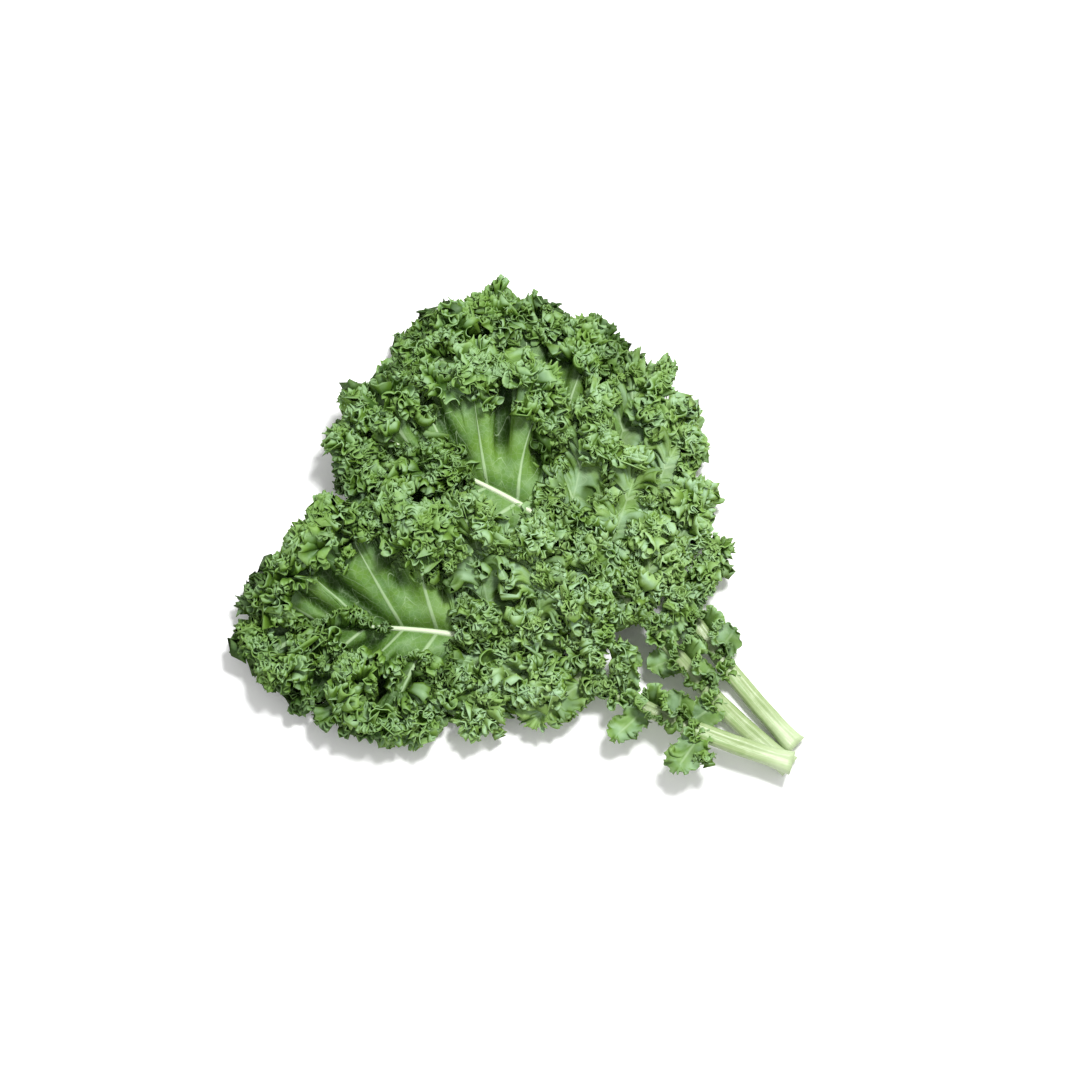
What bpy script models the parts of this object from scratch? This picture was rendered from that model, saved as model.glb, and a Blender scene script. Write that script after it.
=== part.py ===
"""A bunch of three curly kale leaves. They lie on their backs, fanned out from their cut ends.

Each leaf is one body: a stem that runs on as the midrib, and rooted in its sides the two halves of a terminal
blade, side lobes and small leaflets. The leaves overlap like shingles: front on middle on back.
"""

import math

import bmesh
import bpy
from mathutils import Matrix, Vector

MM = 0.001

# Leaf, in millimetres along and across its own axis, from the cut end to the tip.
RIB_LENGTH = 326.0
RIB_BOW = 21.3
RIB_BOW_SKEW = 1.25
RIB_BOW_POWER = 1.8
STEM_RADII = ((0, 6.0), (14, 5.5), (70, 5.1), (150, 3.8), (230, 2.2), (300, 1.4), (RIB_LENGTH, 1.1))
STEM_POINTS = 26
STEM_SIDES = 12
RIB_ARCH = 7.0
RAY_ANGLES = ((50, 80), (80, 70), (120, 66), (206, 62), (250, 50), (290, 36), (312, 20), (RIB_LENGTH, 9))

# Blade sheet.
SHEET_THICKNESS = 1.2
ROOT_STEP = 0.5
ROOT_DEPTH = 0.65
SINUS_GAP = 1.1
TIP_GAP = 1.5
TABLE_CLEARANCE = 0.02
RUFFLE_WAVE = 27.0
HALF_WIDTH = 70.0

# Terminal blade: where its rays start along the midrib, and how far they reach.
BLADE_START = 203.0
BLADE_REACH = ((203, 81), (232, 81), (258, 66), (286, 46), (306, 29), (RIB_LENGTH, 17))
BLADE_CELLS = (32, 8)

# Side lobes and leaflets, as (start, end) along the midrib.
LOBE_SPANS = ((172, BLADE_START), (144, 172), (118, 144))
LEAFLET_SPANS = {"left": ((82, 101), (46, 66)), "right": ((96, 115), (62, 82))}
LOBE_CELLS = (9, 8)
LEAFLET_CELLS = (5, 5)

LEAF_GREEN = (0.075, 0.19, 0.045, 1.0)


class Leaf:
    """One leaf's place in the bunch, and how its two sides rise or droop away from the midrib."""

    def __init__(self, name, cut_end, heading, lift, left, right):
        self.name = name
        self.cut_end = Vector(cut_end)
        self.turn = Matrix.Rotation(math.radians(heading), 3, "Z")
        self.lift = lift
        self.sides = {"left": left, "right": right}

    def place(self, local):
        """Turns a point of the leaf's own frame into one of the bunch's frame, in metres."""
        return (self.turn @ Vector(local) + self.cut_end) * MM


def side_of(slope, bend, ruffle, lobes, leaflets, width=1.0):
    """How one side of a leaf lies: slope and bend in mm over HALF_WIDTH, and how far its pieces reach."""
    return {
        "slope": slope, "bend": bend, "ruffle": ruffle,
        "lobes": lobes, "leaflets": leaflets, "width": width,
    }


LEAVES = (
    Leaf(
        "front", (164.5, -145.0, 12.2), 164.3, -12.2,
        left=side_of(20.0, -34.0, 5.0, (76, 58, 46), (26, 27), width=0.94),
        right=side_of(38.0, 0.0, 3.5, (84, 74, 52), (28, 14)),
    ),
    Leaf(
        "middle", (164.4, -145.5, 0.0), 141.3, 16.8,
        left=side_of(-4.0, -22.0, 3.5, (68, 50, 26), (16, 18), width=0.94),
        right=side_of(12.0, -2.0, 4.0, (80, 72, 52), (32, 9)),
    ),
    Leaf(
        "back", (168.0, -133.2, 0.0), 134.2, 0.0,
        left=side_of(6.0, -10.0, 2.5, (64, 44, 14), (11,), width=0.88),
        right=side_of(26.0, -32.0, 5.0, (98, 86, 66), (56, 15), width=1.2),
    ),
)


def lerp_table(table, at):
    """Reads a table of (position, value) pairs, straight between its entries."""
    for (x0, y0), (x1, y1) in zip(table, table[1:]):
        if at <= x1:
            return y0 + (y1 - y0) * max(0.0, at - x0) / (x1 - x0)
    return table[-1][1]


def smoothstep(low, high, at):
    """0 below low, 1 above high, and smooth between."""
    share = min(1.0, max(0.0, (at - low) / (high - low)))
    return share * share * (3.0 - 2.0 * share)


def rib_point(leaf, along):
    """The midrib's centre in the leaf's own frame."""
    share = along / RIB_LENGTH
    sideways = -RIB_BOW * math.sin(math.pi * share**RIB_BOW_SKEW) ** RIB_BOW_POWER
    rest = lerp_table(STEM_RADII, 0) * (1.0 - smoothstep(0, 60, along)) + 8.6 * smoothstep(0, 60, along)
    height = rest + RIB_ARCH * math.sin(math.pi * smoothstep(40, 1.25 * RIB_LENGTH, along))
    return Vector((along, sideways, height + leaf.lift * smoothstep(35, 165, along)))


def rib_direction(leaf, along):
    """The midrib's direction seen from above, as a unit vector."""
    step = 1.0
    ahead = rib_point(leaf, min(along + step, RIB_LENGTH))
    behind = rib_point(leaf, max(along - step, 0.0))
    flat = ahead - behind
    flat.z = 0.0
    return flat.normalized()


def blade_point(leaf, side, along, outward, reach, ruffle_share):
    """A point of one side's sheet: along the midrib, and outward from 0 at the stem to 1 at the margin."""
    sign = 1.0 if side == "left" else -1.0
    lie = leaf.sides[side]
    rib = rib_point(leaf, along)
    forward = rib_direction(leaf, along)
    sideways = Vector((-forward.y, forward.x, 0.0)) * sign
    angle = math.radians(lerp_table(RAY_ANGLES, along))
    ray = forward * math.cos(angle) + sideways * math.sin(angle)
    radius = lerp_table(STEM_RADII, along)
    sunk = (ROOT_STEP + ROOT_DEPTH * radius) * (1.0 - smoothstep(0.0, 0.1, outward))
    root = rib + sideways * (radius + ROOT_STEP - sunk)
    point = root + ray * (outward * reach)
    across = outward * reach * math.sin(angle) / HALF_WIDTH
    point.z += lie["slope"] * across + lie["bend"] * across**2
    margin_place = along + outward * reach * math.cos(angle)
    wave = math.sin(2.0 * math.pi * (margin_place * 1.1 + 9.0 * sign) / RUFFLE_WAVE)
    point.z += lie["ruffle"] * ruffle_share * outward**1.6 * wave
    point.z = max(point.z, 0.5 * SHEET_THICKNESS + TABLE_CLEARANCE)
    return point


def material(name, colour, roughness):
    """A plain finish of that colour."""
    made = bpy.data.materials.new(name)
    made.use_nodes = True
    shader = made.node_tree.nodes["Principled BSDF"]
    shader.inputs["Base Color"].default_value = colour
    shader.inputs["Roughness"].default_value = roughness
    shader.inputs["Metallic"].default_value = 0.0
    made.diffuse_color = colour
    return made


def clear_scene():
    """Removes the start-up objects."""
    for old in list(bpy.data.objects):
        bpy.data.objects.remove(old)


def make_stem(leaf, collection):
    """The stalk from its flat cut end on through the blade as the midrib: a tapering round rod."""
    rod = bmesh.new()
    rings = []
    for index in range(STEM_POINTS):
        along = RIB_LENGTH * index / (STEM_POINTS - 1)
        forward = rib_direction(leaf, along)
        sideways = Vector((-forward.y, forward.x, 0.0))
        ring = []
        for corner in range(STEM_SIDES):
            turn = 2.0 * math.pi * corner / STEM_SIDES
            spoke = sideways * math.cos(turn) + Vector((0.0, 0.0, math.sin(turn)))
            point = rib_point(leaf, along) + spoke * lerp_table(STEM_RADII, along)
            ring.append(rod.verts.new(leaf.place(point)))
        rings.append(ring)
    for near, far in zip(rings, rings[1:]):
        for corner in range(STEM_SIDES):
            after = (corner + 1) % STEM_SIDES
            rod.faces.new((near[corner], near[after], far[after], far[corner]))
    rod.faces.new(rings[0])
    rod.faces.new(rings[-1])
    bmesh.ops.recalc_face_normals(rod, faces=rod.faces)
    mesh = bpy.data.meshes.new(f"{leaf.name}_stem")
    rod.to_mesh(mesh)
    rod.free()
    stem = bpy.data.objects.new(f"{leaf.name}_stem", mesh)
    collection.objects.link(stem)
    return stem


def make_sheet(name, cells, point_at, collection):
    """A closed sheet from a flat grid, whose (across, outward) places in 0..1 point_at turns into points."""
    mesh = bpy.data.meshes.new(name)
    grid = bmesh.new()
    bmesh.ops.create_grid(grid, x_segments=cells[0], y_segments=cells[1], size=0.5)
    for vertex in grid.verts:
        vertex.co = point_at(vertex.co.x + 0.5, vertex.co.y + 0.5)
    bmesh.ops.triangulate(grid, faces=grid.faces)
    grid.to_mesh(mesh)
    grid.free()
    sheet = bpy.data.objects.new(name, mesh)
    solidify = sheet.modifiers.new("thickness", "SOLIDIFY")
    solidify.thickness = SHEET_THICKNESS * MM
    solidify.offset = 0.0
    collection.objects.link(sheet)
    return sheet


def make_blade_half(leaf, side, collection):
    """Half of the terminal blade: rays that fan from the midrib round to its tip."""
    width = leaf.sides[side]["width"]

    def point_at(across, outward):
        first, last = BLADE_START + SINUS_GAP, RIB_LENGTH - TIP_GAP
        along = first + across * (last - first)
        reach = width * lerp_table(BLADE_REACH, along)
        return leaf.place(blade_point(leaf, side, along, outward, reach, 1.0))

    return make_sheet(f"{leaf.name}_blade_{side}", BLADE_CELLS, point_at, collection)


def make_lobe(leaf, side, name, span, reach, cells, collection):
    """A side lobe or leaflet: a tongue of blade with a rounded end, on its own stretch of the midrib."""
    start, end = span[0] + SINUS_GAP, span[1] - SINUS_GAP

    def point_at(across, outward):
        middle = 0.5 * (start + end)
        waist = 0.86 + 0.14 * outward
        along = middle + (across - 0.5) * (end - start) * waist
        rounded = reach * (1.0 - 0.26 * abs(2.0 * across - 1.0) ** 2.5)
        ruffle_share = min(1.0, reach / HALF_WIDTH)
        return leaf.place(blade_point(leaf, side, along, outward, rounded, ruffle_share))

    return make_sheet(f"{leaf.name}_{name}", cells, point_at, collection)


def make_sheets(leaf, collection):
    """Every sheet of one leaf: the halves of its blade, its lobes and its leaflets."""
    sheets = []
    for side, lie in leaf.sides.items():
        sheets.append(make_blade_half(leaf, side, collection))
        for number, (span, reach) in enumerate(zip(LOBE_SPANS, lie["lobes"]), 1):
            name = f"lobe_{side}_{number}"
            sheets.append(make_lobe(leaf, side, name, span, reach, LOBE_CELLS, collection))
        for number, (span, reach) in enumerate(zip(LEAFLET_SPANS[side], lie["leaflets"]), 1):
            name = f"leaflet_{side}_{number}"
            sheets.append(make_lobe(leaf, side, name, span, reach, LEAFLET_CELLS, collection))
    return sheets


def make_leaf(leaf, collection, finish):
    """One leaf as it grew: its stem and every sheet rooted in it, joined into one closed body."""
    sheets = bpy.data.collections.new(f"{leaf.name}_sheets")
    bpy.context.scene.collection.children.link(sheets)
    made = make_sheets(leaf, sheets)
    stem = make_stem(leaf, collection)
    union = stem.modifiers.new("grown_together", "BOOLEAN")
    union.operation = "UNION"
    union.solver = "EXACT"
    union.operand_type = "COLLECTION"
    union.collection = sheets
    bpy.context.view_layer.update()
    graph = bpy.context.evaluated_depsgraph_get()
    mesh = bpy.data.meshes.new_from_object(stem.evaluated_get(graph))
    for old in (stem, *made):
        bpy.data.objects.remove(old)
    bpy.data.collections.remove(sheets)
    mesh.name = f"{leaf.name}_leaf"
    mesh.materials.clear()
    mesh.materials.append(finish)
    body = bpy.data.objects.new(f"{leaf.name}_leaf", mesh)
    collection.objects.link(body)
    return body


def stand_on_origin(pieces):
    """Hangs the pieces on an empty that puts the middle of the bunch's footprint at the origin."""
    bpy.context.view_layer.update()
    graph = bpy.context.evaluated_depsgraph_get()
    corners = []
    for piece in pieces:
        solid = piece.evaluated_get(graph)
        corners += [solid.matrix_world @ vertex.co for vertex in solid.to_mesh().vertices]
        solid.to_mesh_clear()
    low = Vector(min(corner[axis] for corner in corners) for axis in range(3))
    high = Vector(max(corner[axis] for corner in corners) for axis in range(3))
    bunch = bpy.data.objects.new("bunch", None)
    bpy.context.scene.collection.objects.link(bunch)
    bunch.location = (-(low.x + high.x) / 2, -(low.y + high.y) / 2, -low.z)
    for piece in pieces:
        piece.parent = bunch


def main():
    clear_scene()
    collection = bpy.data.collections.new("kale_bunch")
    bpy.context.scene.collection.children.link(collection)
    finish = material("leaf", LEAF_GREEN, 0.55)
    stand_on_origin([make_leaf(leaf, collection, finish) for leaf in LEAVES])


main()
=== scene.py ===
"""A small bunch of curly kale, lying flat: three frilled leaves fanned out from their cut stems.

Every blade, lobe and leaflet is a thin sheet that is grown from a smooth tongue into frills, one size of
fold after another, each along the edge that the last one made longer. Ribbons of frill stand on it in rows.
Sizes are in millimetres along and across each leaf's own axis, from the cut end to the tip, until a leaf is
placed in the bunch.
"""

import logging
import math
from dataclasses import dataclass, field
from enum import Enum
from typing import Callable, Sequence, Union

import bpy
import numpy as np
from mathutils import Matrix, Vector


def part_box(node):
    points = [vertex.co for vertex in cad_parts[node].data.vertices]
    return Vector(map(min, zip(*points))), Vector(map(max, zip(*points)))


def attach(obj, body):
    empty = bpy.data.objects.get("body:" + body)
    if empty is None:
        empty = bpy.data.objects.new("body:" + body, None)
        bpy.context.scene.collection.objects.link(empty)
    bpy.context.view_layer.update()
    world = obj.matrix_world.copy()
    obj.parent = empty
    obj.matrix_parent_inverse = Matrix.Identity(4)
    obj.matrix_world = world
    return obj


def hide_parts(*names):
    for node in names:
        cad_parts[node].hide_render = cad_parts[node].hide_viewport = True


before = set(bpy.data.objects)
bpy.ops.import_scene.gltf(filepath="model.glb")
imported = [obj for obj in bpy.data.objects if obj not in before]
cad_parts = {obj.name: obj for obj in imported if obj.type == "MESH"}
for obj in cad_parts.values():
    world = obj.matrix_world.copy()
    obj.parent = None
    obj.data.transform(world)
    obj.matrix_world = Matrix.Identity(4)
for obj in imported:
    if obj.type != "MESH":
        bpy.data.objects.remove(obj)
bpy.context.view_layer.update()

LOG = logging.getLogger("kale")
MM = 0.001
UP = np.array((0.0, 0.0, 1.0))
BLADE_THICKNESS = 0.45
SEED = 3000  # the same for every leaf, since three leaves of one plant are much alike
TRACE = 1201  # places that an edge is first traced at, before its columns are spaced out
BIG_REACH = 40.0  # a tongue that reaches farther than this is a lobe with two rows of frills
SMALL_REACH = 20.0  # and one that reaches less than this has none
Table = tuple[tuple[float, float], ...]
Colour = tuple[float, float, float]


def read_table(table: Table, at: np.ndarray) -> np.ndarray:
    """Reads a table of (position, value) pairs, straight between its entries.

    Args:
        table: Pairs in rising order of position.
        at: The positions to read.

    Returns:
        The values there.
    """
    places, values = zip(*table)
    return np.interp(at, places, values)


def smoothstep(low: float, high: float, at: np.ndarray) -> np.ndarray:
    """0 below low, 1 above high, and smooth between."""
    share = np.clip((at - low) / (high - low), 0.0, 1.0)
    return share * share * (3.0 - 2.0 * share)


def unit(vectors: np.ndarray) -> np.ndarray:
    """The vectors at length one."""
    return vectors / np.maximum(np.linalg.norm(vectors, axis=-1, keepdims=True), 1e-9)


def run_along(line: np.ndarray) -> np.ndarray:
    """How far along a line of points each of them is."""
    return np.concatenate([[0.0], np.cumsum(np.linalg.norm(np.diff(line, axis=0), axis=-1))])


def axes_of(points: np.ndarray) -> tuple[np.ndarray, np.ndarray, np.ndarray]:
    """A sheet's own directions at each point.

    Args:
        points: The sheet's points, by column along the edge and row in from it.

    Returns:
        Unit vectors along the edge, inward from it, and square to both.
    """
    along = unit(np.gradient(points, axis=0))
    inward = unit(np.gradient(points, axis=1))
    return along, inward, unit(np.cross(along, inward))


def facing_up(normals: np.ndarray) -> np.ndarray:
    """The normals, each turned over if it points down."""
    return normals * np.sign(normals[..., 2:3] + 1e-9)


def smooth_noise(at: np.ndarray, rng: np.random.Generator, waves: int = 4) -> np.ndarray:
    """A wandering line of about unit size, whose bumps are a few units of `at` long.

    Args:
        at: Where to read it.
        rng: The source of its phases.
        waves: How many sines it is the sum of.

    Returns:
        Its height at each place.
    """
    total = np.zeros_like(at, dtype=float)
    for _ in range(waves):
        frequency = rng.uniform(0.13, 0.55)
        total += np.sin(2.0 * np.pi * (frequency * at + rng.uniform()))
    return total * math.sqrt(2.0 / waves) * 0.7


class Side(Enum):
    """The two sides of a leaf, seen from above with its tip ahead, and the sign of each."""

    LEFT = 1.0
    RIGHT = -1.0

    @property
    def word(self) -> str:
        """The side's name in lower case."""
        return self.name.lower()


@dataclass(frozen=True)
class Lie:
    """How one side of a leaf lies, and how far its pieces reach.

    Attributes:
        slope: How much higher than the midrib it lies at the leaf's half width, if it were straight.
        bend: What is added to that there, growing by the square of how far out it is.
        lobes: How far each lobe reaches, from the terminal blade down.
        leaflets: How far each leaflet reaches, from the lobes down.
        width: How far the terminal blade reaches, as a share of the usual.
    """

    slope: float
    bend: float
    lobes: tuple[float, ...]
    leaflets: tuple[float, ...]
    width: float = 1.0


@dataclass(frozen=True)
class Leaf:
    """One leaf's place in the bunch and the smooth surface that its blade is grown on.

    Attributes:
        name: Which leaf it is.
        cut_end: Where the stalk's cut end is.
        heading: Where the leaf points, in degrees from +X.
        lift: How much higher its blade lies than its cut end.
        left: How its left side lies.
        right: How its right side lies.
        rib_length: The length of stalk and midrib together.
        rib_bow: How far the midrib bows to the right.
        rib_bow_skew: How far towards the tip it bows the most: at the middle if this is 1.
        rib_bow_power: How sharply it bows.
        rib_rest: How high over the table the midrib's centre lies, before it arches.
        rib_arch: How much higher it arches on its way.
        half_width: How far out a side's slope and bend are measured.
        tip_turn: How many degrees farther out the left side's rays point at the tip.
        stem_radii: The stem's radius, by distance from the cut end.
        ray_angles: How many degrees from the midrib the blade's rays point, by the same distance.
    """

    name: str
    cut_end: tuple[float, float, float]
    heading: float
    lift: float
    left: Lie
    right: Lie
    rib_length: float = 326.0
    rib_bow: float = 21.3
    rib_bow_skew: float = 1.25
    rib_bow_power: float = 1.8
    rib_rest: float = 8.6
    rib_arch: float = 7.0
    half_width: float = 70.0
    tip_turn: float = 16.0
    stem_radii: Table = ((0, 6.0), (14, 5.5), (70, 5.1), (150, 3.8), (230, 2.2), (300, 1.2), (326, 0.7))
    ray_angles: Table = ((50, 80), (80, 70), (120, 66), (206, 62), (250, 50), (290, 36), (312, 20), (326, 9))

    def lie(self, side: Side) -> Lie:
        """How that side lies."""
        return self.left if side is Side.LEFT else self.right

    def radius(self, along: np.ndarray) -> np.ndarray:
        """The stem's or midrib's radius."""
        return read_table(self.stem_radii, along)

    def rib(self, along: np.ndarray) -> np.ndarray:
        """The midrib's centre in the leaf's own frame.

        Args:
            along: Distances from the cut end.

        Returns:
            Points, with one more axis than along.
        """
        share = np.clip(along / self.rib_length, 0.0, 1.0)
        sideways = -self.rib_bow * np.sin(np.pi * share**self.rib_bow_skew) ** self.rib_bow_power
        blend = smoothstep(0, 60, along)
        rest = self.stem_radii[0][1] * (1.0 - blend) + self.rib_rest * blend
        arch = self.rib_arch * np.sin(np.pi * smoothstep(40, 1.25 * self.rib_length, along))
        return np.stack([along, sideways, rest + arch + self.lift * smoothstep(35, 165, along)], -1)

    def forward(self, along: np.ndarray) -> np.ndarray:
        """The midrib's direction seen from above.

        Args:
            along: Distances from the cut end.

        Returns:
            Level unit vectors, one for each distance.
        """
        ahead = self.rib(np.minimum(along + 1.0, self.rib_length))
        behind = self.rib(np.maximum(along - 1.0, 0.0))
        flat = ahead - behind
        flat[..., 2] = 0.0
        return unit(flat)

    def sheet(self, side: Side, along: np.ndarray, out: np.ndarray) -> np.ndarray:
        """Points of one side's smooth surface.

        Args:
            side: Which side of the midrib.
            along: Where each point's ray leaves the midrib.
            out: How far along its ray each point is.

        Returns:
            Points in the leaf's own frame.
        """
        lie = self.lie(side)
        forward = self.forward(along)
        sideways = np.stack([-forward[..., 1], forward[..., 0], np.zeros_like(along)], -1) * side.value
        turn = self.tip_turn * smoothstep(262, 326, along) * (side is Side.LEFT)
        angle = np.radians(read_table(self.ray_angles, along) + turn)[..., None]
        ray = forward * np.cos(angle) + sideways * np.sin(angle)
        radius = self.radius(along)
        points = self.rib(along) + sideways * (0.55 * radius)[..., None] + ray * out[..., None]
        points[..., 2] += 0.25 * radius
        across = out * np.sin(angle[..., 0]) / self.half_width
        points[..., 2] += lie.slope * across + lie.bend * across**2
        return points

    def place(self, points: np.ndarray, origin: np.ndarray) -> np.ndarray:
        """Moves points from the leaf's own frame into the bunch's.

        Args:
            points: Points in millimetres.
            origin: The middle of the bunch's footprint, in millimetres.

        Returns:
            Points in metres.
        """
        turn = math.radians(self.heading)
        cos, sin = math.cos(turn), math.sin(turn)
        x, y, z = points[..., 0], points[..., 1], points[..., 2]
        turned = np.stack([cos * x - sin * y, sin * x + cos * y, z], -1)
        return (turned + np.array(self.cut_end) - origin) * MM


@dataclass(frozen=True)
class Fold:
    """One size of fold along an edge.

    Attributes:
        length: Its wave length.
        height: Its height.
        reach: How far in from the edge it reaches.
        root: How far from the line that holds the sheet it has its full height.
        meander: How far it sways along the edge, as a share of its height.
        lean: How far it sways in and out, as a share of its height.
        uneven: How much its height varies along the edge.
        wander: How much its wave length varies along the edge.
    """

    length: float
    height: float
    reach: float
    root: float
    meander: float = 0.35
    lean: float = 0.15
    uneven: float = 0.35
    wander: float = 0.9

    def grow(self, points: np.ndarray, inset: np.ndarray, rooted: np.ndarray, hush: np.ndarray,
             rng: np.random.Generator) -> np.ndarray:
        """Folds a sheet along its edge.

        Args:
            points: The sheet's points, by column along the edge and row in from it.
            inset: How far each point is in from the edge.
            rooted: How far each point is from where the sheet is held.
            hush: A share of the height for each column.
            rng: The source of what is uneven.

        Returns:
            The folded points.
        """
        run = run_along(points[:, 0]) / self.length
        phase = 2.0 * np.pi * (run + rng.uniform()) + self.wander * smooth_noise(run, rng) * 2.0
        slant = 0.6 * smooth_noise(run * 0.5, rng)
        phase = phase[:, None] + slant[:, None] * inset / self.reach
        loud = np.clip(1.0 + self.uneven * smooth_noise(run, rng), 0.25, 1.8) * hush
        height = self.height * loud[:, None] * np.exp(-((inset / self.reach) ** 1.4))
        height *= smoothstep(0.0, self.root, rooted)
        along, inward, up = axes_of(points)
        move = up * (height * np.sin(phase))[..., None]
        move -= along * (self.meander * height * np.sin(2.0 * phase))[..., None]
        move -= inward * (self.lean * height * np.cos(2.0 * phase))[..., None]
        return points + move


@dataclass(frozen=True)
class Patch:
    """A stretch of blade by its outline: where its edge and the vein that holds it run.

    Edge and vein are matching knots (across, out): across runs from 0 to 1 over the piece's own stretch of
    the midrib, and out from 0 at the midrib to 1 at the piece's end.
    """

    edge: Sequence[tuple[float, float]]
    vein: Sequence[tuple[float, float]]

    def knots(self, at: np.ndarray) -> tuple[np.ndarray, np.ndarray]:
        """Reads the edge and the vein at fractions of the outline's knots, with its corners rounded.

        Args:
            at: Places from 0 to 1.

        Returns:
            The edge's and the vein's (across, out) there.
        """
        samples, soften = 601, 24
        dense = np.linspace(0.0, 1.0, samples)
        kernel = np.hanning(2 * soften + 1)
        kernel /= kernel.sum()
        read = []
        for line in (self.edge, self.vein):
            places = np.linspace(0.0, 1.0, len(line))
            axes = []
            for values in zip(*line):
                exact = np.interp(dense, places, values)
                padded = np.pad(exact, soften, mode="reflect", reflect_type="odd")
                axes.append(np.interp(at, dense, np.convolve(padded, kernel, "valid")))
            read.append(np.stack(axes, -1))
        return read[0], read[1]


HALF_BLADE = Patch(
    edge=((0, 0.03), (0, 0.3), (0, 0.62), (0, 0.88), (0.1, 1), (0.3, 1), (0.5, 1), (0.7, 1), (0.86, 1),
          (0.97, 1), (1, 0.6), (1, 0.2)),
    vein=((0, 0), (0.03, 0), (0.06, 0), (0.1, 0), (0.17, 0), (0.32, 0), (0.48, 0), (0.65, 0), (0.8, 0),
          (0.91, 0), (0.97, 0), (1, 0)),
)
TONGUE = Patch(
    edge=((0.03, 0), (-0.04, 0.22), (-0.07, 0.48), (-0.05, 0.72), (0.02, 0.92), (0.22, 1), (0.5, 1.02),
          (0.78, 1), (0.98, 0.92), (1.05, 0.72), (1.07, 0.48), (1.04, 0.22), (0.97, 0)),
    vein=((0.5, 0), (0.5, 0.1), (0.5, 0.27), (0.5, 0.46), (0.5, 0.63), (0.5, 0.74), (0.5, 0.8),
          (0.5, 0.74), (0.5, 0.63), (0.5, 0.46), (0.5, 0.27), (0.5, 0.1), (0.5, 0)),
)


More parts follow.
